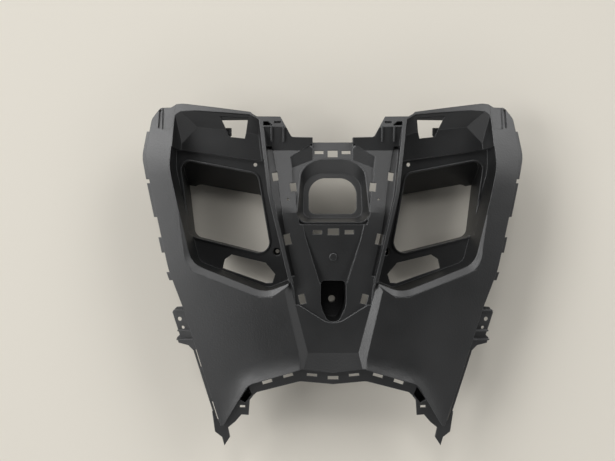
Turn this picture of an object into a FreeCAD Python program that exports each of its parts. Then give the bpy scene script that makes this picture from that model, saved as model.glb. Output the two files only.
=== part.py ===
import FreeCAD, Part
import math
import os

from FreeCAD import Vector

# Inner leg shield of a scooter, one plastic moulding that lies on its back with its face up.
# Millimetres. X runs across the panel, Y towards its top edge, Z up from the floor.
# The right half is built and mirrored. A corner of an outline is (x, y, radius).

# Wall
WALL = 2.5
BOSS_WALL = 2.2

# Face of the wings, a crowned sheet that bends back at the top and falls towards the feet
FACE_HEIGHT = 113.0
CROWN_DROP = 17.0
CROWN_REACH = 200.0
BEND_AT_WING = 130.0
BEND_AT_CENTRE = 78.0
BEND_SPREAD = 100.0
BEND_LEAN = 0.287
BEND_SOFTNESS = 14.0
FALL_FROM = 20.0
FALL_SLOPE = 0.12
FALL_SOFTNESS = 30.0
SHEET_LEFT = -30.0
SHEET_RIGHT = 255.0
SHEET_STEP = 20.0
SHEET_BANDS = [(-235.0, -157.0, 20.0), (-157.0, -77.0, 8.0), (-77.0, 235.0, 20.0)]

# Flare of the face along the arch
ARCH_LEVEL = -113.0
ARCH_SHOULDER = 40.3
ARCH_SLOPE = 0.29
ARCH_ROUNDING = 8.0
FLARE_RISE = 6.0
FLARE_BAND = 24.0
FLARE_FADE_FROM = 85.0
FLARE_FADE_TO = 128.0

# Outline of the face, from the middle of the top edge round to the middle of the arch
FACE_OUTLINE = [
    (24.9, 165.5, 0.0),
    (24.9, 170.5, 0.0),
    (51.0, 171.0, 5.0),
    (65.0, 196.5, 0.0),
    (95.5, 196.5, 0.0),
    (102.0, 202.3, 0.0),
    (188.0, 214.4, 18.0),
    (197.0, 213.4, 0.0),
    (203.0, 209.9, 0.0),
    (216.0, 209.9, 8.0),
    (226.5, 195.0, 14.0),
    (232.5, 148.0, 40.0),
    (201.0, 8.0, 120.0),
    (183.0, -40.0, 120.0),
    (139.0, -186.5, 0.0),
    (135.5, -186.5, 0.0),
    (103.5, -132.5, 18.0),
    (40.3, -113.0, 10.0),
]
TOP_EDGE = 165.5
ARCH_MIDDLE = -117.5

# Stepped lips round the edge
LIP_STEP = 8.0
SIDE_LIP = 5.5
FLANGE_POINTS = [(0.0, -125.0), (94.0, -140.0), (135.0, -210.0)]
TAB_POINTS = [(189.5, -54.0), (160.0, -40.0), (175.0, -94.0)]
SIDE_LIP_STRETCHES = [(119.0, 180.0), (72.0, 114.0), (28.0, 47.0), (-6.0, 4.0), (-184.0, -94.0)]
LIP_SLIT_WIDTH = 1.8
LIP_SLITS = [(-92.0, -114.0), (-158.0, -181.0)]
ARCH_FLANGE = [
    (-20.0, -133.5, 0.0),
    (0.0, -133.5, 0.0),
    (40.5, -130.0, 20.0),
    (94.0, -144.5, 6.0),
    (102.8, -153.0, 0.0),
    (104.5, -174.0, 0.0),
    (113.5, -173.5, 0.0),
    (121.0, -182.5, 0.0),
    (130.5, -190.5, 0.0),
    (128.3, -203.0, 0.0),
    (135.5, -214.26, 0.0),
    (138.3, -203.0, 0.0),
    (147.0, -196.0, 0.0),
    (150.0, -170.0, 0.0),
    (120.0, -120.0, 0.0),
    (-20.0, -80.0, 0.0),
]
SIDE_TAB = [
    (150.0, -94.0, 0.0),
    (172.0, -94.0, 0.0),
    (179.0, -87.0, 0.0),
    (191.5, -84.0, 0.0),
    (193.5, -77.5, 0.0),
    (189.8, -74.0, 0.0),
    (198.5, -45.5, 0.0),
    (193.0, -39.0, 0.0),
    (160.0, -36.0, 0.0),
]
TAB_HOLE = (189.5, -54.0)
TAB_HOLE_RADIUS = 2.6
TAB_PEG_HOLE = (185.5, -64.5)
TAB_PEG_RADIUS = 2.0
TAB_RIB_ROWS = [-43.5, -69.0, -80.0]
TAB_RIB_WIDTH = 1.6

# Clip slots in the arch flange: middle, length, width, turn in degrees
ARCH_SLOTS = [
    ((0.0, -125.5), 13.0, 4.6, 0.0),
    ((25.8, -122.0), 12.4, 3.6, 5.0),
    ((55.2, -123.0), 12.4, 4.0, -16.0),
    ((81.0, -131.0), 12.4, 4.4, -18.0),
    ((112.0, -163.0), 6.5, 3.4, 0.0),
]
ARCH_SOCKET = [(104.0, -137.0, 0.0), (115.5, -154.0, 0.0), (108.5, -158.0, 0.0), (100.0, -147.0, 0.0)]
ARCH_SOCKET_DEPTH = 18.0

# Storage pocket with upright walls and a floor that rises towards the top
POCKET_FLOOR_LEVEL = 32.6
POCKET_FLOOR_SLOPE = 0.129
POCKET_MOUTH_HEIGHT = 78.0
POCKET_MOUTH = [
    (199.2, 159.0, 0.0),
    (84.6, 143.4, 0.0),
    (79.0, 100.0, 60.0),
    (53.2, -8.0, 0.0),
    (82.0, -20.0, 14.0),
    (172.5, 15.0, 14.0),
    (200.5, 133.0, 70.0),
]

# Shelf recess above the pocket, with a sloping back wall and cut corners
SHELF_STEP = 5.0
SHELF_FOOT_HEIGHT = 50.0
SHELF_WINDOW_FOOT = 30.0
SHELF_MOUTH = [
    (199.0, 138.0, 0.0),
    (197.0, 203.0, 0.0),
    (193.0, 206.6, 0.0),
    (102.5, 198.8, 0.0),
    (91.4, 192.3, 0.0),
    (84.0, 138.0, 0.0),
]
SHELF_FOOT = [
    (197.0, 138.0, 0.0),
    (188.7, 148.3, 0.0),
    (154.8, 172.1, 0.0),
    (112.7, 168.85, 0.0),
    (94.2, 166.5, 0.0),
    (90.3, 138.0, 0.0),
]
SHELF_WINDOW = [
    (140.5, 198.0, 0.0),
    (105.5, 196.0, 0.0),
    (111.2, 172.4, 0.0),
    (130.8, 174.5, 0.0),
]

# Window of the pocket: upright collar down to the floor, and a ramp from the bar down to the collar
COLLAR_OUTLINE = [
    (192.0, 120.7, 14.0),
    (183.5, 48.1, 13.0),
    (78.0, 21.6, 14.0),
    (91.5, 103.0, 9.0),
]
RAMP_OUTLINE = [
    (195.0, 146.2, 10.0),
    (183.5, 48.1, 13.0),
    (78.0, 21.6, 14.0),
    (95.6, 127.6, 11.0),
]
RAMP_FOOT_HEIGHT = 6.0
RAMP_TOP_HEIGHT = 46.0
RAMP_WALL = 4.5
LOWER_WINDOW = [
    (142.5, 6.0, 0.0),
    (140.0, 17.5, 0.0),
    (130.5, 24.0, 0.0),
    (86.0, 13.0, 0.0),
    (73.8, -2.0, 0.0),
    (77.5, -13.5, 0.0),
    (86.0, -14.0, 0.0),
]

# Screw bosses of the pocket: middle, radius of the recess
POCKET_BOSS = (71.6, 27.6)
POCKET_BOSS_RADIUS = 5.0
POCKET_BOSS_DEPTH = 20.0
SCREW_HOLE_RADIUS = 2.6
BAR_HOLE = (98.5, 140.0)
BAR_HOLE_RADIUS = 2.4

# Chamfer under the pocket: distance out and height from the mouth, at stations along its edge
CHAMFER_DROP = 5.0
CHAMFER_WIDTH = 8.0
CHAMFER_BITE = 0.5
CHAMFER_ROOF = 10.0
CHAMFER_STATIONS = [
    ((177.0, 33.0), (1.0, 0.25), 0.6),
    ((169.5, 12.5), (0.62, -0.78), 6.5),
    ((158.0, 9.0), (0.36, -0.93), 8.0),
    ((88.0, -17.8), (0.25, -0.97), 8.0),
    ((76.0, -17.6), (-0.12, -0.99), 8.0),
    ((55.5, -9.2), (-0.5, -0.87), 1.5),
]

# Centre column, sunk below the wings
COLUMN_LEVEL = 104.0
COLUMN_CREASE = 77.0
COLUMN_SLOPE = 0.0466
COLUMN_LEAN = 0.287
COLUMN_OUTLINE = [
    (-20.0, 230.0, 0.0),
    (-20.0, -35.0, 0.0),
    (46.0, -35.0, 0.0),
    (48.7, -8.0, 0.0),
    (74.5, 100.0, 60.0),
    (85.5, 183.0, 0.0),
    (57.0, 183.0, 0.0),
    (57.0, 230.0, 0.0),
]
LEDGE_HEIGHT = 83.0
LEDGE_FROM = 163.0
LEDGE_SLOPE = 0.15
LEDGE_RIBS = [60.9, 75.8]
LEDGE_RIB_WIDTH = 1.4
LEDGE_RIB_HEIGHT = 3.0
LEDGE_RIB_FROM = 165.0
LEDGE_RIB_TO = 184.0
CHANNEL_DEPTH = 4.0
CHANNEL_OUTLINE = [
    (75.8, 160.0, 0.0),
    (68.5, 121.5, 20.0),
    (58.5, 54.5, 40.0),
    (46.6, 0.0, 0.0),
    (50.6, 0.0, 0.0),
    (74.5, 100.0, 60.0),
    (82.5, 160.0, 0.0),
]
COLUMN_SLOTS = [
    ((71.0, 121.5), 7.0, 10.5, -9.0),
    ((48.7, 108.3), 7.4, 10.8, -8.0),
    ((55.5, 44.6), 8.0, 13.0, -12.0),
    ((37.8, -28.0), 7.6, 12.0, -14.0),
    ((19.3, 53.3), 11.0, 5.0, 0.0),
    ((0.0, 53.8), 13.6, 8.0, 0.0),
    ((16.8, 152.6), 11.0, 4.2, 0.0),
    ((0.0, 150.8), 12.4, 8.6, 0.0),
]
COLUMN_PIN_HOLE = (55.0, 93.0)
PIN_HOLE_RADIUS = 1.3

# Recess round the key opening, between the rails of the column
RECESS_DEPTH = 5.0
RECESS_OUTLINE = [
    (-20.0, 230.0, 0.0),
    (-20.0, 62.5, 0.0),
    (41.0, 62.5, 0.0),
    (44.5, 82.0, 12.0),
    (45.5, 99.0, 12.0),
    (50.2, 121.0, 12.0),
    (50.4, 133.0, 0.0),
    (24.9, 143.4, 0.0),
    (24.9, 230.0, 0.0),
]
FIN_OUTLINE = [(50.4, 132.5, 0.0), (24.4, 143.0, 0.0), (24.4, 164.3, 0.0), (52.4, 146.0, 0.0)]

# Key opening: funnel from the recess down to a lip, and the hole in the lip
FUNNEL_TOP_HEIGHT = 106.0
FUNNEL_TOP = [(-45.0, 64.0, 12.0), (45.0, 64.0, 12.0), (45.0, 183.0, 42.0), (-45.0, 183.0, 42.0)]
FUNNEL_FOOT_HEIGHT = 68.0
FUNNEL_FOOT = [(-34.0, 74.5, 9.0), (34.0, 74.5, 9.0), (34.0, 121.0, 22.0), (-34.0, 121.0, 22.0)]
LIP_TOP = (126.0, 72.0)
LIP_BOTTOM = (72.0, 79.0)
KEY_HOLE = [(-29.8, 76.0, 8.0), (29.8, 76.0, 8.0), (29.8, 121.0, 21.0), (-29.8, 121.0, 21.0)]

# Raised rims round the key opening and the pocket window
RIM_WIDTH = 2.0
RIM_HEIGHT = 1.6

# Tongue that runs down to the oval socket
TONGUE_OUTLINE = [
    (-20.0, 66.0, 0.0),
    (38.0, 66.0, 0.0),
    (33.1, 44.3, 30.0),
    (16.5, -9.0, 0.0),
    (-20.0, -9.0, 0.0),
]
TONGUE_TOP = 64.0
TONGUE_FOOT = -6.0
TONGUE_DROP = 9.0
TONGUE_RING = (0.0, 23.0)
TONGUE_RING_RADIUS = 4.4
TONGUE_RING_HEIGHT = 2.0
SOCKET_OUTLINE = [
    (-15.2, -6.0, 5.0),
    (15.2, -6.0, 5.0),
    (15.4, -37.0, 30.0),
    (6.5, -55.5, 8.5),
    (-6.5, -55.5, 8.5),
    (-15.4, -37.0, 30.0),
]
SOCKET_FLOOR = 46.0
SOCKET_HOLE = (0.0, -33.0)
SOCKET_HOLE_RADIUS = 4.6
SOCKET_BOSS_RADIUS = 8.5
SOCKET_BOSS_DEPTH = 14.0

# Shallow valley of the apron with slanted sides
VALLEY_LEVEL = 102.1
VALLEY_FROM = -35.0
VALLEY_SLOPE = 0.119
VALLEY_FLARE_FROM = -94.0
VALLEY_FLARE_SLOPE = 0.19
VALLEY_OUTLINE = [
    (-20.0, -30.0, 0.0),
    (-20.0, -150.0, 0.0),
    (40.4, -150.0, 0.0),
    (40.4, -100.0, 0.0),
    (59.0, -17.0, 0.0),
    (52.0, -6.0, 0.0),
    (46.0, -20.0, 0.0),
]
VALLEY_SIDE_TOP = (59.0, -17.0)
VALLEY_SIDE_FOOT = (40.4, -100.0)
VALLEY_SIDE_WIDTH = 10.5
VALLEY_SIDE_DROP = 7.0
VALLEY_SIDE_WALL = 3.25
TRIM_EDGE = [
    (-20.0, -20.0, 0.0),
    (-20.0, -56.5, 0.0),
    (8.0, -56.5, 20.0),
    (42.0, -35.0, 3.0),
    (49.5, -8.5, 0.0),
    (40.0, -5.0, 0.0),
]

# Shoulder: sunk panel and slit beside the top of the wing
SHOULDER_DEPTH = 2.2
SHOULDER_PANEL = [(213.5, 216.0, 0.0), (196.0, 216.0, 0.0), (199.6, 181.5, 0.0), (212.4, 181.5, 0.0)]
SHOULDER_SLIT = [(217.4, 207.0, 0.0), (214.6, 207.0, 0.0), (214.8, 183.0, 0.0), (217.6, 183.0, 0.0)]
HOOK_GAP = [(86.0, 190.0, 0.0), (79.5, 190.0, 0.0), (74.2, 185.0, 0.0), (86.0, 185.0, 0.0)]
HOOK_SLOT = ((68.5, 189.0), 8.6, 2.6, 0.0)

# Reach of cutting solids past the panel
REACH = 400.0
ABOVE = 160.0
BELOW = -20.0
CLEAR = 40.0
FLOOR_REACH = 62.0
SEAM = -20.0
SIDE_FROM = 138.0

# Largest share of a side that the arc at its corner takes
ARC_SHARE = 0.48
TINY = 1e-6


def blend(value):
    """Return a smooth step from 0 to 1."""
    value = max(0.0, min(1.0, value))
    return value * value * (3.0 - 2.0 * value)


def face_height(x, y):
    """Return the height of the plain face at a point of the plan."""
    bend = BEND_AT_WING - (BEND_AT_WING - BEND_AT_CENTRE) * math.exp(-(x / BEND_SPREAD) ** 2)
    past = BEND_SOFTNESS * math.log1p(math.exp((y - bend) / BEND_SOFTNESS))
    down = max(0.0, FALL_FROM - y)
    fall = FALL_SLOPE * (math.hypot(down, FALL_SOFTNESS) - FALL_SOFTNESS)
    return FACE_HEIGHT - CROWN_DROP * (x / CROWN_REACH) ** 2 - BEND_LEAN * past - fall


def flare(x, y):
    """Return how far the face is lifted beside the arch."""
    past = max(0.0, abs(x) - ARCH_SHOULDER)
    arch = ARCH_LEVEL - ARCH_SLOPE * (math.hypot(past, ARCH_ROUNDING) - ARCH_ROUNDING)
    inside = (y - arch) / FLARE_BAND
    fade = 1.0 - blend((abs(x) - FLARE_FADE_FROM) / (FLARE_FADE_TO - FLARE_FADE_FROM))
    if inside >= 1.0:
        return 0.0
    if inside < 0.0:
        return FLARE_RISE * fade * (1.0 - 2.0 * inside)
    return FLARE_RISE * fade * (1.0 - inside) ** 2


def stations(low, high, step):
    """Return evenly spaced places from low to high, about a step apart."""
    count = max(1, round((high - low) / step))
    return [low + (high - low) * i / count for i in range(count + 1)]


def sheet():
    """Return the right half of the face as one smooth surface."""
    columns = stations(SHEET_LEFT, SHEET_RIGHT, SHEET_STEP)
    rows = [SHEET_BANDS[0][0]]
    for band in SHEET_BANDS:
        rows += stations(*band)[1:]
    surface = Part.BSplineSurface()
    surface.interpolate([[Vector(x, y, face_height(x, y) + flare(x, y)) for x in columns] for y in rows])
    return surface.toShape()


FACE = sheet()


def layer(top, bottom):
    """Return the solid between two heights over the face."""
    return FACE.translated(Vector(0, 0, bottom)).extrude(Vector(0, 0, top - bottom))


def counter_clockwise(corners):
    """Return the corners in counter-clockwise order."""
    area = 0.0
    for (x0, y0, _), (x1, y1, _) in zip(corners, corners[1:] + corners[:1]):
        area += x0 * y1 - x1 * y0
    return list(corners) if area > 0 else list(reversed(corners))


def shifted(corners, distance):
    """Return an outline whose sides all lie a distance further out."""
    corners = counter_clockwise(corners)
    count = len(corners)
    moved = []
    for i in range(count):
        before = Vector(*corners[i - 1][:2], 0)
        here = Vector(*corners[i][:2], 0)
        after = Vector(*corners[(i + 1) % count][:2], 0)
        into = (here - before).normalize()
        out_of = (after - here).normalize()
        turn = math.atan2(into.x * out_of.y - into.y * out_of.x, into.dot(out_of))
        side = Vector(into.y, -into.x, 0)
        along = distance * math.tan(turn / 2.0)
        place = here + side * distance + into * along
        radius = corners[i][2] + (distance if turn > 0 else -distance)
        moved.append((place.x, place.y, max(0.0, radius) if corners[i][2] else 0.0))
    return moved


def rounded(corners, height):
    """Return the closed wire of an outline with its corners rounded."""
    corners = counter_clockwise(corners)
    count = len(corners)
    starts = []
    ends = []
    middles = []
    for i in range(count):
        before = Vector(*corners[i - 1][:2], height)
        here = Vector(*corners[i][:2], height)
        after = Vector(*corners[(i + 1) % count][:2], height)
        back = (before - here)
        ahead = (after - here)
        half = back.getAngle(ahead) / 2.0
        room = ARC_SHARE * min(back.Length, ahead.Length)
        reach = min(corners[i][2] / math.tan(half), room) if corners[i][2] else 0.0
        radius = reach * math.tan(half)
        back.normalize()
        ahead.normalize()
        starts.append(here + back * reach)
        ends.append(here + ahead * reach)
        inward = back + ahead
        if reach > 0.0 and inward.Length > TINY:
            inward.normalize()
            middles.append(here + inward * (radius / math.sin(half) - radius))
        else:
            middles.append(None)
    edges = []
    for i in range(count):
        if middles[i] is not None:
            edges.append(Part.Arc(starts[i], middles[i], ends[i]).toShape())
        following = starts[(i + 1) % count]
        if (following - ends[i]).Length > TINY:
            edges.append(Part.LineSegment(ends[i], following).toShape())
    return Part.Wire(edges)


def prism(corners, low=BELOW, high=ABOVE):
    """Return the upright solid of an outline between two heights."""
    return Part.Face(rounded(corners, low)).extrude(Vector(0, 0, high - low))


def tapered(*sections):
    """Return the solid with flat or ruled sides through outlines at rising heights."""
    return Part.makeLoft([rounded(corners, height) for corners, height in sections], True, True)


def grown(sections, distance):
    """Return the sections with every outline moved out."""
    return [(shifted(corners, distance), height) for corners, height in sections]


def above(first, second, third, drop=0.0):
    """Return the space over the plane through three points, lowered by a drop."""
    normal = (second - first).cross(third - first)
    if normal.z < 0:
        normal = normal * -1.0
    box = Part.makeBox(2.0 * REACH, 2.0 * REACH, 2.0 * REACH, Vector(-REACH, -REACH, 0.0))
    turn = FreeCAD.Rotation(Vector(0, 0, 1), normal)
    box.Placement = FreeCAD.Placement(first - Vector(0, 0, drop), turn)
    return box


def slab(points, top, bottom):
    """Return the space between two depths under the plane through three points."""
    return above(*points, bottom).cut(above(*points, top))


def sloped(level, slope, start=0.0, drop=0.0):
    """Return the space over a plane that rises along Y."""
    first = Vector(0, start, level)
    return above(first, first + Vector(1, 0, 0), first + Vector(0, 1, slope), drop)


def column_point(x, y, depth=0.0):
    """Return the point of the column's floor over a place, lowered by a depth."""
    return Vector(x, y, column_height(y, depth))


def on_face(x, y, depth=0.0):
    """Return the point of the face over a place, lowered by a depth."""
    return Vector(x, y, face_height(x, y) - depth)


def slot(middle, length, width, turn, low=BELOW, high=ABOVE):
    """Return the cutter of a rectangular slot."""
    x, y = length / 2.0, width / 2.0
    cutter = prism([(-x, -y, 0.0), (x, -y, 0.0), (x, y, 0.0), (-x, y, 0.0)], low, high)
    cutter.rotate(Vector(), Vector(0, 0, 1), turn)
    return cutter.translated(Vector(middle[0], middle[1], 0))


def peg(middle, radius, low=BELOW, high=ABOVE):
    """Return an upright cylinder."""
    return Part.makeCylinder(radius, high - low, Vector(middle[0], middle[1], low))


def beside(low, high):
    """Return the space along the outer side of the panel between two rows."""
    return Part.makeBox(REACH, high - low, ABOVE - BELOW, Vector(SIDE_FROM, low, BELOW))


def half_outline():
    """Return the outline of the right half of the face, with a margin past the middle."""
    middle = [(0.0, ARCH_MIDDLE, 0.0), (SEAM, ARCH_MIDDLE, 0.0), (SEAM, TOP_EDGE, 0.0)]
    return FACE_OUTLINE + middle


def face_and_lips(edge):
    """Return the solids of the face, its turned edge, its lips, flange and tab."""
    outline = half_outline()
    inner = prism(shifted(outline, -WALL))
    seat = prism(shifted(outline, -WALL / 2.0))
    under = layer(-WALL / 2.0, -ABOVE)
    turned = edge.cut(inner).common(under)
    flange = prism(ARCH_FLANGE)
    tab = prism(SIDE_TAB).cut(seat)
    flange_plane = [on_face(*place, LIP_STEP) for place in FLANGE_POINTS]
    tab_plane = [on_face(*place, LIP_STEP) for place in TAB_POINTS]
    solids = [edge.common(layer(0.0, -WALL))]
    solids.append(turned.common(layer(ABOVE, -LIP_STEP - WALL)))
    solids.append(turned.common(flange).common(above(*flange_plane, WALL)))
    lip = prism(shifted(outline, SIDE_LIP)).cut(seat).common(layer(-LIP_STEP, -LIP_STEP - WALL))
    for low, high in SIDE_LIP_STRETCHES:
        solids.append(lip.common(beside(low, high)))
    solids.append(flange.cut(seat).common(slab(flange_plane, 0.0, WALL)))
    solids.append(tab.common(slab(tab_plane, 0.0, WALL)))
    socket = prism(shifted(ARCH_SOCKET, WALL)).cut(inner)
    solids.append(socket.common(slab(flange_plane, WALL / 2.0, ARCH_SOCKET_DEPTH)))
    for row in TAB_RIB_ROWS:
        rib = tab.common(beside(row, row + TAB_RIB_WIDTH))
        solids.append(rib.common(slab(tab_plane, WALL - LIP_STEP, WALL / 2.0)))
    return solids


def pocket(under):
    """Return what is added and what is cut for the pocket and its shelf."""
    shelf = [(SHELF_FOOT, SHELF_FOOT_HEIGHT), (SHELF_MOUTH, POCKET_MOUTH_HEIGHT), (SHELF_MOUTH, ABOVE)]
    pairs = [
        (prism(shifted(POCKET_MOUTH, WALL)), prism(POCKET_MOUTH), POCKET_FLOOR_LEVEL),
        (tapered(*grown(shelf, WALL)), tapered(*shelf), POCKET_FLOOR_LEVEL + SHELF_STEP),
    ]
    added = []
    cut = []
    for block, hollow, level in pairs:
        added.append(block.common(sloped(level, POCKET_FLOOR_SLOPE, drop=WALL)).common(under))
        cut.append(hollow.common(sloped(level, POCKET_FLOOR_SLOPE)))
    cut.append(prism(SHELF_WINDOW, SHELF_WINDOW_FOOT, POCKET_MOUTH_HEIGHT))
    return added, cut


def window():
    """Return the collar of the pocket window and the openings in the pocket floor."""
    feet = [Vector(*COLLAR_OUTLINE[i][:2], RAMP_FOOT_HEIGHT) for i in (0, 3)]
    ramp = (*feet, Vector(*RAMP_OUTLINE[0][:2], RAMP_TOP_HEIGHT))
    floor = sloped(POCKET_FLOOR_LEVEL, POCKET_FLOOR_SLOPE, drop=WALL / 2.0)
    outside = prism(shifted(COLLAR_OUTLINE, WALL), 0.0, FLOOR_REACH)
    slide = prism(shifted(RAMP_OUTLINE, WALL), 0.0, FLOOR_REACH).common(above(*ramp, RAMP_WALL))
    collar = outside.fuse(slide).cut(floor)
    hollow = prism(COLLAR_OUTLINE, BELOW, FLOOR_REACH)
    slide_cut = prism(RAMP_OUTLINE, BELOW, FLOOR_REACH).common(above(*ramp))
    boss_floor = POCKET_FLOOR_LEVEL + POCKET_FLOOR_SLOPE * POCKET_BOSS[1] - POCKET_BOSS_DEPTH
    boss = peg(POCKET_BOSS, POCKET_BOSS_RADIUS + BOSS_WALL, boss_floor - WALL, FLOOR_REACH).cut(floor)
    recess = peg(POCKET_BOSS, POCKET_BOSS_RADIUS, boss_floor, FLOOR_REACH)
    screw = peg(POCKET_BOSS, SCREW_HOLE_RADIUS, BELOW, FLOOR_REACH)
    bar_hole = peg(BAR_HOLE, BAR_HOLE_RADIUS, BELOW, FLOOR_REACH)
    lower = prism(LOWER_WINDOW, BELOW, FLOOR_REACH)
    return [collar, boss], [hollow, slide_cut, recess, screw, bar_hole, lower]


def chamfer():
    """Return the backing and the cut of the slanted edge under the pocket."""
    backing = []
    cutting = []
    for (x, y), (dx, dy), width in CHAMFER_STATIONS:
        edge = on_face(x, y)
        out = Vector(dx, dy, 0).normalize()
        slope = CHAMFER_DROP / CHAMFER_WIDTH
        outer = on_face(x + out.x * width, y + out.y * width)
        inner = edge - out * WALL - Vector(0, 0, slope * (width + WALL))
        roof = Vector(inner.x, inner.y, edge.z + CHAMFER_ROOF)
        cutting.append(Part.makePolygon([outer, inner, roof, outer]))
        under = on_face(x + out.x * (width + WALL), y + out.y * (width + WALL), WALL / 2.0)
        top = edge + out * CHAMFER_BITE - Vector(0, 0, WALL / 2.0)
        foot = top - Vector(0, 0, slope * width + WALL)
        backing.append(Part.makePolygon([under, foot, top, under]))
    return Part.makeLoft(backing, True, True), Part.makeLoft(cutting, True, True)


def column_height(y, depth=0.0):
    """Return the height of the column's floor along its length, lowered by a depth."""
    slope = -COLUMN_LEAN if y > COLUMN_CREASE else COLUMN_SLOPE
    return COLUMN_LEVEL + slope * (y - COLUMN_CREASE) - depth


def over_column(depth):
    """Return the space over the column's creased floor, lowered by a depth."""
    upper = sloped(COLUMN_LEVEL, -COLUMN_LEAN, COLUMN_CREASE, depth)
    return upper.fuse(sloped(COLUMN_LEVEL, COLUMN_SLOPE, COLUMN_CREASE, depth))


def column(edge, under):
    """Return what is added and what is cut for the sunk centre column and its recess."""
    ledge = (LEDGE_HEIGHT, LEDGE_SLOPE, LEDGE_FROM)
    outer = prism(shifted(COLUMN_OUTLINE, WALL)).common(edge).common(under)
    added = [outer.common(over_column(WALL)).common(sloped(*ledge, drop=WALL))]
    cut = [prism(COLUMN_OUTLINE).common(over_column(0.0)).common(sloped(*ledge))]
    for corners, depth in ((CHANNEL_OUTLINE, CHANNEL_DEPTH), (RECESS_OUTLINE, RECESS_DEPTH)):
        bed = over_column(depth + WALL).cut(over_column(WALL / 2.0))
        added.append(prism(shifted(corners, WALL)).common(edge).common(bed))
        cut.append(prism(corners).common(over_column(depth)))
    foot_a = column_point(*FIN_OUTLINE[0][:2], RECESS_DEPTH)
    foot_b = column_point(*FIN_OUTLINE[1][:2], RECESS_DEPTH)
    middle = [(p + q) / 2.0 for p, q in zip(FIN_OUTLINE[2], FIN_OUTLINE[3])]
    crest = column_point(middle[0], middle[1])
    bed = over_column(RECESS_DEPTH + WALL).cut(over_column(WALL / 2.0))
    added.append(prism(shifted(FIN_OUTLINE, WALL)).common(bed).common(above(foot_a, foot_b, crest, WALL)))
    cut.append(prism(FIN_OUTLINE).common(above(foot_a, foot_b, crest)))
    return added, cut


def ledge_ribs():
    """Return the ribs that stand on the ledge at the top of the column."""
    ledge = (LEDGE_HEIGHT, LEDGE_SLOPE, LEDGE_FROM)
    low = sloped(*ledge, drop=WALL / 2.0)
    high = sloped(*ledge, drop=-LEDGE_RIB_HEIGHT)
    ribs = []
    for x in LEDGE_RIBS:
        start = Vector(x - LEDGE_RIB_WIDTH / 2.0, LEDGE_RIB_FROM, BELOW)
        rib = Part.makeBox(LEDGE_RIB_WIDTH, LEDGE_RIB_TO - LEDGE_RIB_FROM, ABOVE - BELOW, start)
        ribs.append(rib.common(low).cut(high))
    return ribs


def funnel():
    """Return the sections of the key opening's funnel."""
    return [(FUNNEL_FOOT, FUNNEL_FOOT_HEIGHT), (FUNNEL_TOP, FUNNEL_TOP_HEIGHT)]


def key_opening():
    """Return the funnel of the key opening and its cuts."""
    sections = funnel()
    first = Vector(0, *LIP_TOP)
    lip = (first, first + Vector(1, 0, 0), Vector(0, *LIP_BOTTOM))
    wall = tapered(*grown(sections, WALL)).cut(over_column(RECESS_DEPTH + WALL / 2.0))
    wall = wall.common(above(*lip, WALL))
    return [wall], [tapered(*sections).common(above(*lip)), prism(KEY_HOLE)]


def rims():
    """Return the raised rims round the key opening and the pocket window."""
    key = tapered(*grown(funnel(), RIM_WIDTH)).cut(tapered(*funnel()))
    key = key.common(over_column(RECESS_DEPTH + WALL / 2.0)).cut(over_column(RECESS_DEPTH - RIM_HEIGHT))
    floor = (POCKET_FLOOR_LEVEL, POCKET_FLOOR_SLOPE)
    window_rim = prism(shifted(RAMP_OUTLINE, RIM_WIDTH)).cut(prism(RAMP_OUTLINE))
    window_rim = window_rim.common(sloped(*floor, drop=WALL / 2.0)).cut(sloped(*floor, drop=-RIM_HEIGHT))
    return [key, window_rim]


def tongue():
    """Return the ramp of the tongue, the oval socket, their cuts and the ring that is added last."""
    top = column_point(0.0, TONGUE_TOP)
    foot = column_point(0.0, TONGUE_FOOT, TONGUE_DROP)
    plane = (top, top + Vector(1, 0, 0), foot)
    skin = over_column(WALL / 2.0)
    ramp = prism(shifted(TONGUE_OUTLINE, WALL)).cut(skin).common(above(*plane, WALL))
    ramp_cut = prism(TONGUE_OUTLINE).common(above(*plane))
    mouth = counter_clockwise(SOCKET_OUTLINE)
    cup = prism(shifted(mouth, WALL), SOCKET_FLOOR - WALL, ABOVE).cut(skin)
    boss = peg(SOCKET_HOLE, SOCKET_BOSS_RADIUS, SOCKET_FLOOR - SOCKET_BOSS_DEPTH, SOCKET_FLOOR)
    hole = peg(SOCKET_HOLE, SOCKET_HOLE_RADIUS)
    ring = peg(TONGUE_RING, TONGUE_RING_RADIUS)
    ring = ring.common(above(*plane, WALL / 2.0)).cut(above(*plane, -TONGUE_RING_HEIGHT))
    return [ramp, cup, boss], [ramp_cut, prism(mouth, SOCKET_FLOOR, ABOVE), hole], ring


def over_valley(depth):
    """Return the space over the valley's floor, which turns up at the arch, lowered by a depth."""
    turn = VALLEY_LEVEL + VALLEY_SLOPE * (VALLEY_FLARE_FROM - VALLEY_FROM)
    floor = sloped(VALLEY_LEVEL, VALLEY_SLOPE, VALLEY_FROM, depth)
    return floor.common(sloped(turn, -VALLEY_FLARE_SLOPE, VALLEY_FLARE_FROM, depth))


def valley(edge, under):
    """Return the sunk valley of the apron and its cuts."""
    first = on_face(*VALLEY_SIDE_TOP)
    second = on_face(*VALLEY_SIDE_FOOT)
    middle = (first + second) * 0.5
    third = on_face(middle.x - VALLEY_SIDE_WIDTH, middle.y, VALLEY_SIDE_DROP)
    side = (first, second, third)
    outer = prism(shifted(VALLEY_OUTLINE, WALL)).common(edge).common(under)
    added = [outer.common(over_valley(WALL)).common(above(*side, VALLEY_SIDE_WALL))]
    cut = [prism(VALLEY_OUTLINE).common(over_valley(0.0)).common(above(*side))]
    trim = over_column(WALL).cut(over_valley(WALL / 2.0))
    added.append(prism(shifted(TRIM_EDGE, WALL)).common(trim))
    cut.append(prism(TRIM_EDGE).common(over_column(0.0)))
    return added, cut


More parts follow.
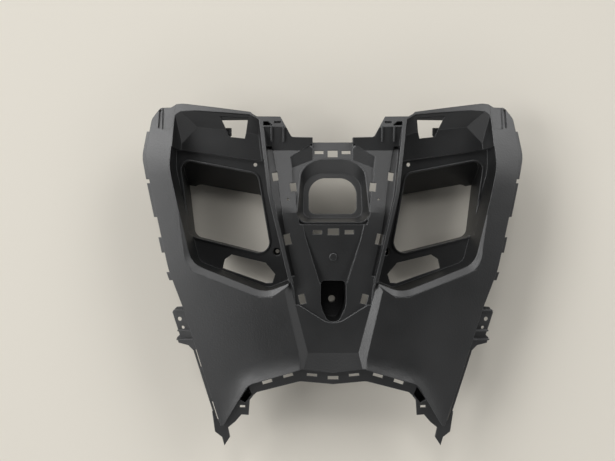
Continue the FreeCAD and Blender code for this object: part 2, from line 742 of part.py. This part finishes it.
def shoulder(edge):
    """Return the sunk panel of the shoulder and its cuts."""
    bed = layer(-WALL / 2.0, -SHOULDER_DEPTH - WALL)
    added = [prism(shifted(SHOULDER_PANEL, WALL)).common(edge).common(bed)]
    cut = [prism(SHOULDER_PANEL).common(layer(CLEAR, -SHOULDER_DEPTH)), prism(SHOULDER_SLIT)]
    cut += [prism(HOOK_GAP), slot(*HOOK_SLOT)]
    return added, cut


def small_cuts():
    """Return the cutters of the clip slots, slits and pin holes."""
    cuts = [slot(*place) for place in ARCH_SLOTS + COLUMN_SLOTS]
    cuts.append(prism(ARCH_SOCKET).cut(prism(half_outline())))
    cuts.append(peg(TAB_HOLE, TAB_HOLE_RADIUS))
    cuts.append(peg(TAB_PEG_HOLE, TAB_PEG_RADIUS))
    cuts.append(peg(COLUMN_PIN_HOLE, PIN_HOLE_RADIUS))
    outline = half_outline()
    slit = prism(shifted(outline, WALL / 2.0 + LIP_SLIT_WIDTH)).cut(prism(shifted(outline, WALL / 2.0)))
    for high, low in LIP_SLITS:
        cuts.append(slit.common(beside(low, high)))
    return cuts


def build():
    """Return the whole panel."""
    edge = prism(half_outline())
    under = layer(-WALL / 2.0, -ABOVE)
    added = face_and_lips(edge)
    cut = []
    backing, slant = chamfer()
    added.append(backing)
    features = [pocket(under), window(), column(edge, under), key_opening()]
    features += [valley(edge, under), shoulder(edge)]
    for more, less in features:
        added += more
        cut += less
    more, less, ring = tongue()
    added += more
    cut += less + [slant]
    half = added[0].multiFuse(added[1:])
    half = half.cut(cut)
    half = half.fuse([ring] + ledge_ribs() + rims())
    half = half.cut(small_cuts())
    right = Part.makeBox(REACH, 2.0 * REACH, 2.0 * REACH, Vector(0.0, -REACH, -REACH))
    half = half.common(right)
    return half.fuse(half.mirror(Vector(), Vector(1, 0, 0))).removeSplitter().Solids[0]


if __name__ == "__main__":
    os.makedirs("parts", exist_ok=True)
    panel = build()
    print(panel.ShapeType, panel.isValid(), len(panel.Solids), panel.optimalBoundingBox())
    panel.exportStep("parts/inner_panel.step")
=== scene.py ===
"""Looks of a scooter's inner leg shield, one charcoal moulding that lies on its back.

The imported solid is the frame. A merged copy of it stands for it and carries the finish, and a few
small forms are cut into that copy or joined to it.
Metres, with +X across the panel, +Y towards its top edge and +Z out of its face.
"""

from __future__ import annotations

import logging
import math
from collections.abc import Iterator
from contextlib import contextmanager
from dataclasses import dataclass
from enum import Enum

import bmesh
import bpy
import numpy as np
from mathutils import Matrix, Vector

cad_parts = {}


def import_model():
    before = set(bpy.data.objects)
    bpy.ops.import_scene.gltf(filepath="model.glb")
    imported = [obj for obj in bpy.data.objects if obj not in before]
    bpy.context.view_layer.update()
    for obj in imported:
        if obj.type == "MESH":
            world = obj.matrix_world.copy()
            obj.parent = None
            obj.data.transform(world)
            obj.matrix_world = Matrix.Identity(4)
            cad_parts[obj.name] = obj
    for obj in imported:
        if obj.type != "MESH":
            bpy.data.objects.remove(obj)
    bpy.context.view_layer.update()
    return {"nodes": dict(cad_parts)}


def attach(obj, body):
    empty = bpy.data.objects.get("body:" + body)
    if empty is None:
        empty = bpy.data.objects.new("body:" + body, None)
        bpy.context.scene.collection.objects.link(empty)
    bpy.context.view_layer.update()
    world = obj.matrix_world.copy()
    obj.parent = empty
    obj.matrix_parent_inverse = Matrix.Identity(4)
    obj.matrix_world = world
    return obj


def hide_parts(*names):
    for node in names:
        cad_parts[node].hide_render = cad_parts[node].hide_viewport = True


LOG = logging.getLogger("leg_shield")
BODY = "root"

Colour = tuple[float, float, float, float]
Point = tuple[float, float, float]


class Slot(Enum):
    """Material slots of the record."""

    PLASTIC = "charcoal_plastic"


class Side(Enum):
    """Halves of the panel, by the sign of their X coordinates."""

    LEFT = -1.0
    RIGHT = 1.0

    def mirror(self) -> np.ndarray:
        """Return the factors that carry right-hand coordinates to this half."""
        return np.array([self.value, 1.0, 1.0])


class Way(Enum):
    """Ways in which a solid changes the panel."""

    CUT = "DIFFERENCE"
    JOIN = "UNION"


class NodeKind(Enum):
    """Shader nodes that the finishes are made of."""

    AXES = "ShaderNodeSeparateXYZ"
    BACKGROUND = "ShaderNodeBackground"
    BSDF = "ShaderNodeBsdfPrincipled"
    BEVEL = "ShaderNodeBevel"
    BUMP = "ShaderNodeBump"
    COORDINATES = "ShaderNodeTexCoord"
    GEOMETRY = "ShaderNodeNewGeometry"
    MIX = "ShaderNodeMix"
    NOISE = "ShaderNodeTexNoise"
    OUTPUT = "ShaderNodeOutputMaterial"
    SKY_OUTPUT = "ShaderNodeOutputWorld"
    RANGE = "ShaderNodeMapRange"
    VECTOR = "ShaderNodeVectorMath"


class ShaderTree:
    """The node tree of a material or of the sky, with short calls to add and join nodes."""

    MIX_FACTOR = 0
    MIX_FIRST = 6
    MIX_SECOND = 7
    MIX_RESULT = 2

    def __init__(self, owner: bpy.types.Material | bpy.types.World) -> None:
        """Start with an empty tree.

        Args:
            owner: The material or the world that the tree belongs to.
        """
        self.owner = owner
        owner.use_nodes = True
        self.tree = owner.node_tree
        self.tree.nodes.clear()

    def add(self, kind: NodeKind, **values: float | Colour) -> bpy.types.Node:
        """Add a node and set its input sockets.

        Args:
            kind: The kind of node.
            values: Socket names, with underscores for spaces, and the values to set.

        Returns:
            The new node.
        """
        node = self.tree.nodes.new(kind.value)
        for name, value in values.items():
            node.inputs[name.replace("_", " ")].default_value = value
        return node

    def join(self, source: bpy.types.NodeSocket, target: bpy.types.NodeSocket) -> None:
        """Link an output socket to an input socket."""
        self.tree.links.new(source, target)

    def mix(
        self, share: bpy.types.NodeSocket, first: bpy.types.NodeSocket | Colour, second: Colour
    ) -> bpy.types.NodeSocket:
        """Blend two colours.

        Args:
            share: Socket that gives the second colour's share.
            first: The first colour, or the socket that gives it.
            second: The second colour.

        Returns:
            The socket of the blended colour.
        """
        node = self.add(NodeKind.MIX)
        node.data_type = "RGBA"
        self.join(share, node.inputs[self.MIX_FACTOR])
        if isinstance(first, bpy.types.NodeSocket):
            self.join(first, node.inputs[self.MIX_FIRST])
        else:
            node.inputs[self.MIX_FIRST].default_value = first
        node.inputs[self.MIX_SECOND].default_value = second
        return node.outputs[self.MIX_RESULT]

    def scaled(
        self, source: bpy.types.NodeSocket, low: float, high: float, to_low: float, to_high: float
    ) -> bpy.types.NodeSocket:
        """Carry a value from one range to another.

        Args:
            source: Socket of the value.
            low: Start of the range that comes in.
            high: End of the range that comes in.
            to_low: Start of the range that goes out.
            to_high: End of the range that goes out.

        Returns:
            The socket of the new value.
        """
        node = self.add(
            NodeKind.RANGE, From_Min=low, From_Max=high, To_Min=to_low, To_Max=to_high
        )
        self.join(source, node.inputs["Value"])
        return node.outputs["Result"]


@dataclass(frozen=True)
class MouldedPlastic:
    """Matt charcoal plastic with a fine moulded grain, and edges painted paler, which is a painted
    highlight for the light that rounded edges catch, and partly wear.

    The edge mask grows as the cosine between the plain normal and a normal rounded over the edge
    falls from its plain value to its sharp one.
    """

    name: str = "charcoal moulded plastic"
    dark: Colour = (0.0055, 0.0058, 0.0061, 1.0)
    light: Colour = (0.0092, 0.0095, 0.0098, 1.0)
    # Paler colour painted on the edges: a painted highlight for the light that rounded edges catch,
    # and partly wear.
    edge_highlight_and_wear: Colour = (0.13, 0.135, 0.14, 1.0)
    gloss_low: float = 0.40
    gloss_high: float = 0.48
    sheen_level: float = 1.0
    edge_radius: float = 0.0012
    edge_samples: int = 6
    # Strength of the painted edge highlight, which is partly wear.
    edge_highlight_share: float = 0.45
    plain_cosine: float = 0.995
    sharp_cosine: float = 0.75
    cloud_scale: float = 14.0
    cloud_detail: float = 4.0
    cloud_low: float = 0.3
    cloud_high: float = 0.7
    grain_scale: float = 480.0
    grain_detail: float = 2.0
    grain_height: float = 0.00016

    def make(self) -> bpy.types.Material:
        """Build the material.

        Returns:
            The material, whose clouds and grain lie on Object coordinates.
        """
        shader = ShaderTree(bpy.data.materials.new(self.name))
        output = shader.add(NodeKind.OUTPUT)
        bsdf = shader.add(NodeKind.BSDF, Specular_IOR_Level=self.sheen_level)
        shader.join(bsdf.outputs["BSDF"], output.inputs["Surface"])
        place = shader.add(NodeKind.COORDINATES).outputs["Object"]
        clouds = shader.add(NodeKind.NOISE, Scale=self.cloud_scale, Detail=self.cloud_detail)
        shader.join(place, clouds.inputs["Vector"])
        cloud = clouds.outputs["Fac"]
        rounded = shader.add(NodeKind.BEVEL, Radius=self.edge_radius)
        rounded.samples = self.edge_samples
        body = shader.mix(cloud, self.dark, self.light)
        edge = self._edge_highlight_mask(shader, rounded.outputs["Normal"])
        # Edges painted paler: a painted highlight for light caught by rounded edges, and partly
        # wear.
        shader.join(shader.mix(edge, body, self.edge_highlight_and_wear), bsdf.inputs["Base Color"])
        gloss = shader.scaled(
            cloud, self.cloud_low, self.cloud_high, self.gloss_low, self.gloss_high
        )
        shader.join(gloss, bsdf.inputs["Roughness"])
        grain = shader.add(NodeKind.NOISE, Scale=self.grain_scale, Detail=self.grain_detail)
        shader.join(place, grain.inputs["Vector"])
        bump = shader.add(NodeKind.BUMP, Distance=self.grain_height)
        shader.join(grain.outputs["Fac"], bump.inputs["Height"])
        shader.join(rounded.outputs["Normal"], bump.inputs["Normal"])
        shader.join(bump.outputs["Normal"], bsdf.inputs["Normal"])
        return shader.owner

    def _edge_highlight_mask(
        self, shader: ShaderTree, rounded: bpy.types.NodeSocket
    ) -> bpy.types.NodeSocket:
        """Find the edges, which are painted paler as a painted highlight and partly as wear.

        Args:
            shader: The tree that is built.
            rounded: The normal that is rounded over the edges.

        Returns:
            The socket of a mask that is zero on plain surfaces.
        """
        cosine = shader.add(NodeKind.VECTOR)
        cosine.operation = "DOT_PRODUCT"
        shader.join(shader.add(NodeKind.GEOMETRY).outputs["Normal"], cosine.inputs[0])
        shader.join(rounded, cosine.inputs[1])
        return shader.scaled(
            cosine.outputs["Value"], self.plain_cosine, self.sharp_cosine, 0.0, self.edge_highlight_share
        )


def add_object(name: str, data: bpy.types.ID) -> bpy.types.Object:
    """Add an object to the scene.

    Args:
        name: Name of the object.
        data: Its mesh, lamp or lens.

    Returns:
        The object, at the origin.
    """
    thing = bpy.data.objects.new(name, data)
    bpy.context.scene.collection.objects.link(thing)
    return thing


@contextmanager
def editing(mesh: bpy.types.Mesh) -> Iterator[bmesh.types.BMesh]:
    """Open a mesh for editing, and put the edited form back into it at the end.

    Args:
        mesh: The mesh.

    Yields:
        The mesh in its editable form.
    """
    work = bmesh.new()
    work.from_mesh(mesh)
    yield work
    work.to_mesh(mesh)
    work.free()


def solid_along(sections: np.ndarray, name: str) -> bpy.types.Mesh:
    """Close a row of sections to a solid.

    Each section is a ring of corners. Corner j of ring i is joined to corner j of ring i + 1 by a
    four-sided face, and the first and the last ring are closed by flat faces.

    Args:
        sections: Corners as an array of rings by corners by coordinates.
        name: Name of the mesh.

    Returns:
        The mesh, with its faces turned outwards.
    """
    rings, corners, _ = sections.shape
    index = np.arange(rings * corners).reshape(rings, corners)
    onward = np.roll(index, -1, axis=1)
    sides = np.stack([index[:-1], onward[:-1], onward[1:], index[1:]], axis=-1).reshape(-1, 4)
    ends = [index[0, ::-1].tolist(), index[-1].tolist()]
    mesh = bpy.data.meshes.new(name)
    mesh.from_pydata(sections.reshape(-1, 3).tolist(), [], sides.tolist() + ends)
    with editing(mesh) as work:
        bmesh.ops.recalc_face_normals(work, faces=work.faces)
    return mesh


@dataclass(frozen=True)
class PocketBevel:
    """Slanted edge of the face along the foot of a storage pocket's mouth.

    The section leaves the face one width away from the mouth and drops by a fixed slope towards
    it. It is carried along the mouth's edge, from the column round the foot and up the outer wall,
    and its width fades at both ends. The face is a crowned sheet: its height falls as the square
    of the distance from the middle, and as a rounded ramp towards the feet. Each corner is given
    by its two coordinates in plan and by how far from it the round starts.
    """

    corners: tuple[Point, ...] = (
        (0.0545, -0.0085, 0.0),
        (0.0820, -0.0200, 0.014),
        (0.1725, 0.0150, 0.014),
        (0.1867, 0.0750, 0.0),
    )
    corner_steps: int = 12
    width_marks: tuple[float, ...] = (0.0, 0.12, 0.66, 0.78, 1.0)
    widths: tuple[float, ...] = (0.0020, 0.0075, 0.0080, 0.0048, 0.0015)
    slope: float = 0.62
    wall: float = 0.0022
    outer_overlap: float = 0.0015
    inner_overlap: float = 0.0030
    clear_height: float = 0.018
    proud: float = 0.00005
    places: int = 72
    face_top: float = 0.113
    crown_drop: float = 0.017
    crown_reach: float = 0.200
    fall_from: float = 0.020
    fall_slope: float = 0.12
    fall_softness: float = 0.030

    def face_height(self, plan: np.ndarray) -> np.ndarray:
        """Work out the height of the face, by the formula of the class.

        Args:
            plan: Points of the plan, as an array of points by two coordinates.

        Returns:
            The height at each point.
        """
        down = np.maximum(0.0, self.fall_from - plan[:, 1])
        fall = self.fall_slope * (np.hypot(down, self.fall_softness) - self.fall_softness)
        return self.face_top - self.crown_drop * (plan[:, 0] / self.crown_reach) ** 2 - fall

    def path(self) -> tuple[np.ndarray, np.ndarray, np.ndarray]:
        """Follow the mouth's edge.

        Each inner corner is rounded by a quadratic curve from one tangent point to the other, and
        the whole line is divided into equal steps.

        Returns:
            The places, the unit normals away from the pocket and the width at each place.
        """
        knots = np.array(self.corners)
        points = knots[:, :2]
        reaches = knots[1:, 2]
        line = [points[:1]]
        steps = np.linspace(0.0, 1.0, self.corner_steps)[:, None]
        for before, corner, after, reach in zip(points, points[1:], points[2:], reaches):
            start = corner + (before - corner) * reach / np.linalg.norm(before - corner)
            end = corner + (after - corner) * reach / np.linalg.norm(after - corner)
            middle = 2 * steps * (1 - steps) * corner
            line.append((1 - steps) ** 2 * start + middle + steps**2 * end)
        line.append(points[-1:])
        fine = np.concatenate(line)
        lengths = np.linalg.norm(np.diff(fine, axis=0), axis=1)
        reached = np.concatenate([[0.0], np.cumsum(lengths)])
        share = np.linspace(0.0, 1.0, self.places)
        target = share * reached[-1]
        place = np.stack([np.interp(target, reached, axis) for axis in fine.T], axis=1)
        along = np.gradient(place, axis=0)
        along /= np.linalg.norm(along, axis=1, keepdims=True)
        normal = np.stack([along[:, 1], -along[:, 0]], axis=1)
        return place, normal, np.interp(share, self.width_marks, self.widths)

    def sections(self, side: Side) -> tuple[np.ndarray, np.ndarray]:
        """Work out what is cut from the panel and the strip that is laid into the cut.

        The slanted line runs from (place + normal width, face height) to
        (place, face height - slope width).

        Args:
            side: The half of the panel that the pocket lies in.

        Returns:
            The sections of the cut and those of the strip.
        """
        place, normal, width = self.path()
        width = width[:, None]
        far = place + normal * width
        outer = np.column_stack([far, self.face_height(far)])
        inner = np.column_stack([place, self.face_height(place) - self.slope * width[:, 0]])
        down = (inner - outer) / width
        up = np.array([0.0, 0.0, 1.0])
        cut_outer = outer - down * self.outer_overlap
        cut_inner = inner + down * self.inner_overlap
        roof = self.clear_height * up
        cut = np.stack([cut_outer, cut_inner, cut_inner + roof, cut_outer + roof], axis=1)
        lift = self.proud * up
        under = self.wall * up
        strip = np.stack([outer + lift, inner + lift, inner - under, outer - under], axis=1)
        return cut * side.mirror(), strip * side.mirror()


@dataclass(frozen=True)
class Infill:
    """Thin plate that closes part of an opening below its rim, or a hollow cut into such a plate.

    Its top is a plane: the level at the first corner, plus the slopes times the distance from
    that corner. The outline is that of the right half.
    """

    name: str
    outline: tuple[tuple[float, float], ...]
    level: float
    slope_across: float
    slope_up: float
    thickness: float = 0.0026
    way: Way = Way.JOIN

    def rings(self, side: Side) -> np.ndarray:
        """Work out the outlines of the plate's top and of its underside.

        Args:
            side: The half of the panel that the plate lies in.

        Returns:
            The two rings of corners, one above the other.
        """
        plan = np.array(self.outline)
        top = self.level + (plan - plan[0]) @ np.array([self.slope_across, self.slope_up])
        upper = np.column_stack([plan, top])
        lower = np.column_stack([plan, top - self.thickness])
        return np.stack([upper, lower]) * side.mirror()


SLIT_BED = Infill(
    name="shoulder slit bed",
    outline=((0.2140, 0.2064), (0.2176, 0.2064), (0.2184, 0.1822), (0.2141, 0.1822)),
    level=0.0691,
    slope_across=-0.174,
    slope_up=-0.287,
)
SHELF_HOOD = Infill(
    name="shelf window hood",
    outline=((0.1430, 0.1942), (0.1030, 0.1942), (0.1030, 0.1975), (0.1430, 0.2000)),
    level=0.0690,
    slope_across=-0.0816,
    slope_up=0.90,
)
SHELF_CHEEK = Infill(
    name="shelf window cheek",
    outline=(
        (0.1282, 0.1860),
        (0.1282, 0.1770),
        (0.1310, 0.1730),
        (0.1370, 0.1800),
        (0.1370, 0.1860),
    ),
    level=0.0585,
    slope_across=0.0,
    slope_up=0.10,
)
SOCKET_BED = Infill(
    name="arch socket bed",
    outline=((0.1045, -0.1355), (0.1170, -0.1543), (0.1085, -0.1595), (0.0986, -0.1470)),
    level=0.0700,
    slope_across=-0.02,
    slope_up=0.157,
)
HOOK_CUP = Infill(
    name="hook gap cup",
    outline=((0.0875, 0.1915), (0.0788, 0.1915), (0.0710, 0.1835), (0.0875, 0.1835)),
    level=0.0828,
    slope_across=0.06,
    slope_up=-0.285,
    thickness=0.0077,
)
HOOK_HOLLOW = Infill(
    name="hook gap hollow",
    outline=((0.0860, 0.1900), (0.0795, 0.1900), (0.0742, 0.1850), (0.0860, 0.1850)),
    level=0.0865,
    slope_across=0.06,
    slope_up=-0.285,
    thickness=0.0090,
    way=Way.CUT,
)
HOOK_SLOT_BED = Infill(
    name="hook slot bed",
    outline=((0.0735, 0.1910), (0.0635, 0.1910), (0.0635, 0.1870), (0.0735, 0.1870)),
    level=0.0822,
    slope_across=0.07,
    slope_up=-0.285,
)


@dataclass
class InnerPanel:
    """The moulding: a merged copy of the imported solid, with its small forms cut in or joined.

    Faces that meet at less than the crease angle are shaded as one curved surface. Between two
    wide faces a smaller angle is a crease too, so that flat walls stay flat while narrow facets
    of a round edge blend.
    """

    piece: str = "dressed_panel"
    node: str = "inner_panel"
    slot: Slot = Slot.PLASTIC
    finish: MouldedPlastic = MouldedPlastic()
    bevel: PocketBevel = PocketBevel()
    infills: tuple[Infill, ...] = (
        SLIT_BED,
        SHELF_HOOD,
        SHELF_CHEEK,
        SOCKET_BED,
        HOOK_CUP,
        HOOK_HOLLOW,
        HOOK_SLOT_BED,
    )
    merge_distance: float = 0.00002
    crease_deg: float = 20.0
    wide_crease_deg: float = 5.5
    wide_face: float = 0.020
    column_crease: float = 0.077
    crease_reach: float = 0.009

    def build(self, nodes: dict[str, bpy.types.Object]) -> bpy.types.Object:
        """Make the dressed panel.

        Args:
            nodes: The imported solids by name.

        Returns:
            The panel that stands for its solid.
        """
        mesh = nodes[self.node].data.copy()
        mesh.name = self.piece
        mesh.materials.clear()
        with editing(mesh) as work:
            bmesh.ops.remove_doubles(work, verts=work.verts, dist=self.merge_distance)
        panel = add_object(self.piece, mesh)
        for side in Side:
            cut, strip = self.bevel.sections(side)
            self._shape(panel, solid_along(cut, "bevel cut"), Way.CUT)
            self._shape(panel, solid_along(strip, "bevel strip"), Way.JOIN)
            for infill in self.infills:
                self._shape(panel, solid_along(infill.rings(side), infill.name), infill.way)
        self._crease(panel.data)
        panel.data.materials.append(self.finish.make())
        smoothing = panel.modifiers.new("weighted normals", "WEIGHTED_NORMAL")
        smoothing.mode = "FACE_AREA_WITH_ANGLE"
        smoothing.keep_sharp = True
        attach(panel, BODY)
        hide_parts(self.node)
        return panel

    def _shape(self, panel: bpy.types.Object, tool: bpy.types.Mesh, way: Way) -> None:
        """Cut a solid out of the panel or join it to the panel.

        Args:
            panel: The panel, whose mesh is replaced.
            tool: The solid, which is removed afterwards.
            way: Whether it is cut out or joined.
        """
        helper = add_object(tool.name, tool)
        step = panel.modifiers.new(way.name, "BOOLEAN")
        step.operation = way.value
        step.solver = "EXACT"
        step.object = helper
        shaped = panel.evaluated_get(bpy.context.evaluated_depsgraph_get())
        before = panel.data
        panel.data = bpy.data.meshes.new_from_object(shaped)
        panel.modifiers.clear()
        bpy.data.meshes.remove(before)
        bpy.data.objects.remove(helper)
        bpy.data.meshes.remove(tool)

    def _crease(self, mesh: bpy.types.Mesh) -> None:
        """Shade a mesh smooth between its creases, without the normals that it was packed with.

        Args:
            mesh: The panel's mesh.
        """
        packed_normals = mesh.attributes.get("custom_normal")
        if packed_normals is not None:
            mesh.attributes.remove(packed_normals)
        mesh.shade_smooth()
        with editing(mesh) as work:
            self._soften_column(work)
            for edge in work.edges:
                edge.smooth = edge.is_manifold and not self._is_crease(edge)

    def _soften_column(self, work: bmesh.types.BMesh) -> None:
        """Divide the faces below and above the column's crease, so that it shades as a round.

        Args:
            work: The panel's mesh in its editable form.
        """
        for reach in (-self.crease_reach, self.crease_reach):
            place = (0.0, self.column_crease + reach, 0.0)
            parts = work.verts[:] + work.edges[:] + work.faces[:]
            bmesh.ops.bisect_plane(work, geom=parts, plane_co=place, plane_no=(0.0, 1.0, 0.0))

    def _is_crease(self, edge: bmesh.types.BMEdge) -> bool:
        """Tell whether two faces meet at a crease.

        A face's width across the edge is twice its area, divided by the edge's length.

        Args:
            edge: The edge between the two faces.

        Returns:
            True where the angle is that of a crease for faces of this width.
        """
        angle = math.degrees(edge.calc_face_angle())
        width = min(2.0 * face.calc_area() for face in edge.link_faces) / edge.calc_length()
        limit = self.wide_crease_deg if width > self.wide_face else self.crease_deg
        return angle > limit


@dataclass(frozen=True)
class Softbox:
    """A square area lamp that points at the panel."""

    name: str
    place: Point
    side: float
    power: float
    target: Point = (0.0, 0.0, 0.05)

    def add(self) -> None:
        """Add the lamp to the scene."""
        lamp = bpy.data.lights.new(self.name, "AREA")
        lamp.shape = "SQUARE"
        lamp.size = self.side
        lamp.energy = self.power
        holder = add_object(self.name, lamp)
        holder.location = self.place
        direction = Vector(self.target) - Vector(self.place)
        holder.rotation_euler = direction.to_track_quat("-Z", "Y").to_euler()


@dataclass
class Studio:
    """Pale floor, soft sky, soft lamps and the camera, which looks straight down."""

    floor_side: float = 8.0
    floor_colour: Colour = (0.74, 0.70, 0.62, 1.0)
    floor_roughness: float = 0.8
    horizon_colour: Colour = (0.12, 0.12, 0.12, 1.0)
    band_colour: Colour = (1.25, 1.25, 1.25, 1.0)
    zenith_colour: Colour = (0.02, 0.02, 0.02, 1.0)
    horizon_below: float = 0.25
    band_from: float = 0.50
    band_to: float = 0.55
    zenith_above: float = 0.75
    camera_place: Point = (-0.0313, 0.0553, 0.915)
    image_width: float = 615.0
    focal_pixels: float = 672.0
    sensor_width: float = 36.0
    lamps: tuple[Softbox, ...] = (
        Softbox("upper_left_light", (-4.64, 4.96, 4.32), side=4.2, power=260.0),
        Softbox("left_light", (-5.76, 0.0, 5.28), side=2.9, power=150.0),
        Softbox("upper_right_light", (4.72, 4.72, 4.48), side=3.8, power=138.0),
        Softbox("top_light", (-0.8, 4.8, 6.24), side=1.4, power=60.0),
        Softbox("lower_left_light", (-3.9, -2.8, 6.4), side=1.4, power=24.0),
    )

    def build(self) -> None:
        """Add the floor, the sky, the lamps and the camera."""
        self._floor()
        self._sky()
        for lamp in self.lamps:
            lamp.add()
        self._camera()

    def _floor(self) -> bpy.types.Object:
        """Add a square floor at height zero.

        Returns:
            The floor.
        """
        half = self.floor_side / 2.0
        mesh = bpy.data.meshes.new("floor")
        corners = [(-half, -half, 0.0), (half, -half, 0.0), (half, half, 0.0), (-half, half, 0.0)]
        mesh.from_pydata(corners, [], [(0, 1, 2, 3)])
        shader = ShaderTree(bpy.data.materials.new("pale floor"))
        output = shader.add(NodeKind.OUTPUT)
        bsdf = shader.add(
            NodeKind.BSDF, Base_Color=self.floor_colour, Roughness=self.floor_roughness
        )
        shader.join(bsdf.outputs["BSDF"], output.inputs["Surface"])
        mesh.materials.append(shader.owner)
        return add_object("floor", mesh)

    def _sky(self) -> None:
        """Light the scene all round by a pale band between a dim horizon and a dark top.

        Both blends follow the height of the sky's direction, which is the sine of its elevation.
        """
        shader = ShaderTree(bpy.data.worlds.new("soft sky"))
        output = shader.add(NodeKind.SKY_OUTPUT)
        background = shader.add(NodeKind.BACKGROUND)
        axes = shader.add(NodeKind.AXES)
        shader.join(shader.add(NodeKind.COORDINATES).outputs["Generated"], axes.inputs["Vector"])
        height = axes.outputs["Z"]
        low = shader.scaled(height, self.horizon_below, self.band_from, 0.0, 1.0)
        high = shader.scaled(height, self.band_to, self.zenith_above, 0.0, 1.0)
        band = shader.mix(low, self.horizon_colour, self.band_colour)
        shader.join(shader.mix(high, band, self.zenith_colour), background.inputs["Color"])
        shader.join(background.outputs["Background"], output.inputs["Surface"])
        bpy.context.scene.world = shader.owner

    def _camera(self) -> None:
        """Add the camera over the panel, with the panel's top edge up in the picture."""
        lens = bpy.data.cameras.new("overhead")
        lens.sensor_fit = "HORIZONTAL"
        lens.sensor_width = self.sensor_width
        lens.lens = self.focal_pixels * self.sensor_width / self.image_width
        camera = add_object("overhead", lens)
        camera.location = self.camera_place
        bpy.context.scene.camera = camera


def main() -> None:
    """Build the panel and its studio, and log the panel's face count."""
    logging.basicConfig(level=logging.INFO, format="%(name)s: %(message)s")
    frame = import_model()
    panel = InnerPanel().build(frame["nodes"])
    LOG.info("%s has %d faces", panel.name, len(panel.data.polygons))
    Studio().build()
    bpy.context.scene.view_settings.view_transform = "Standard"


if __name__ == "__main__":
    main()
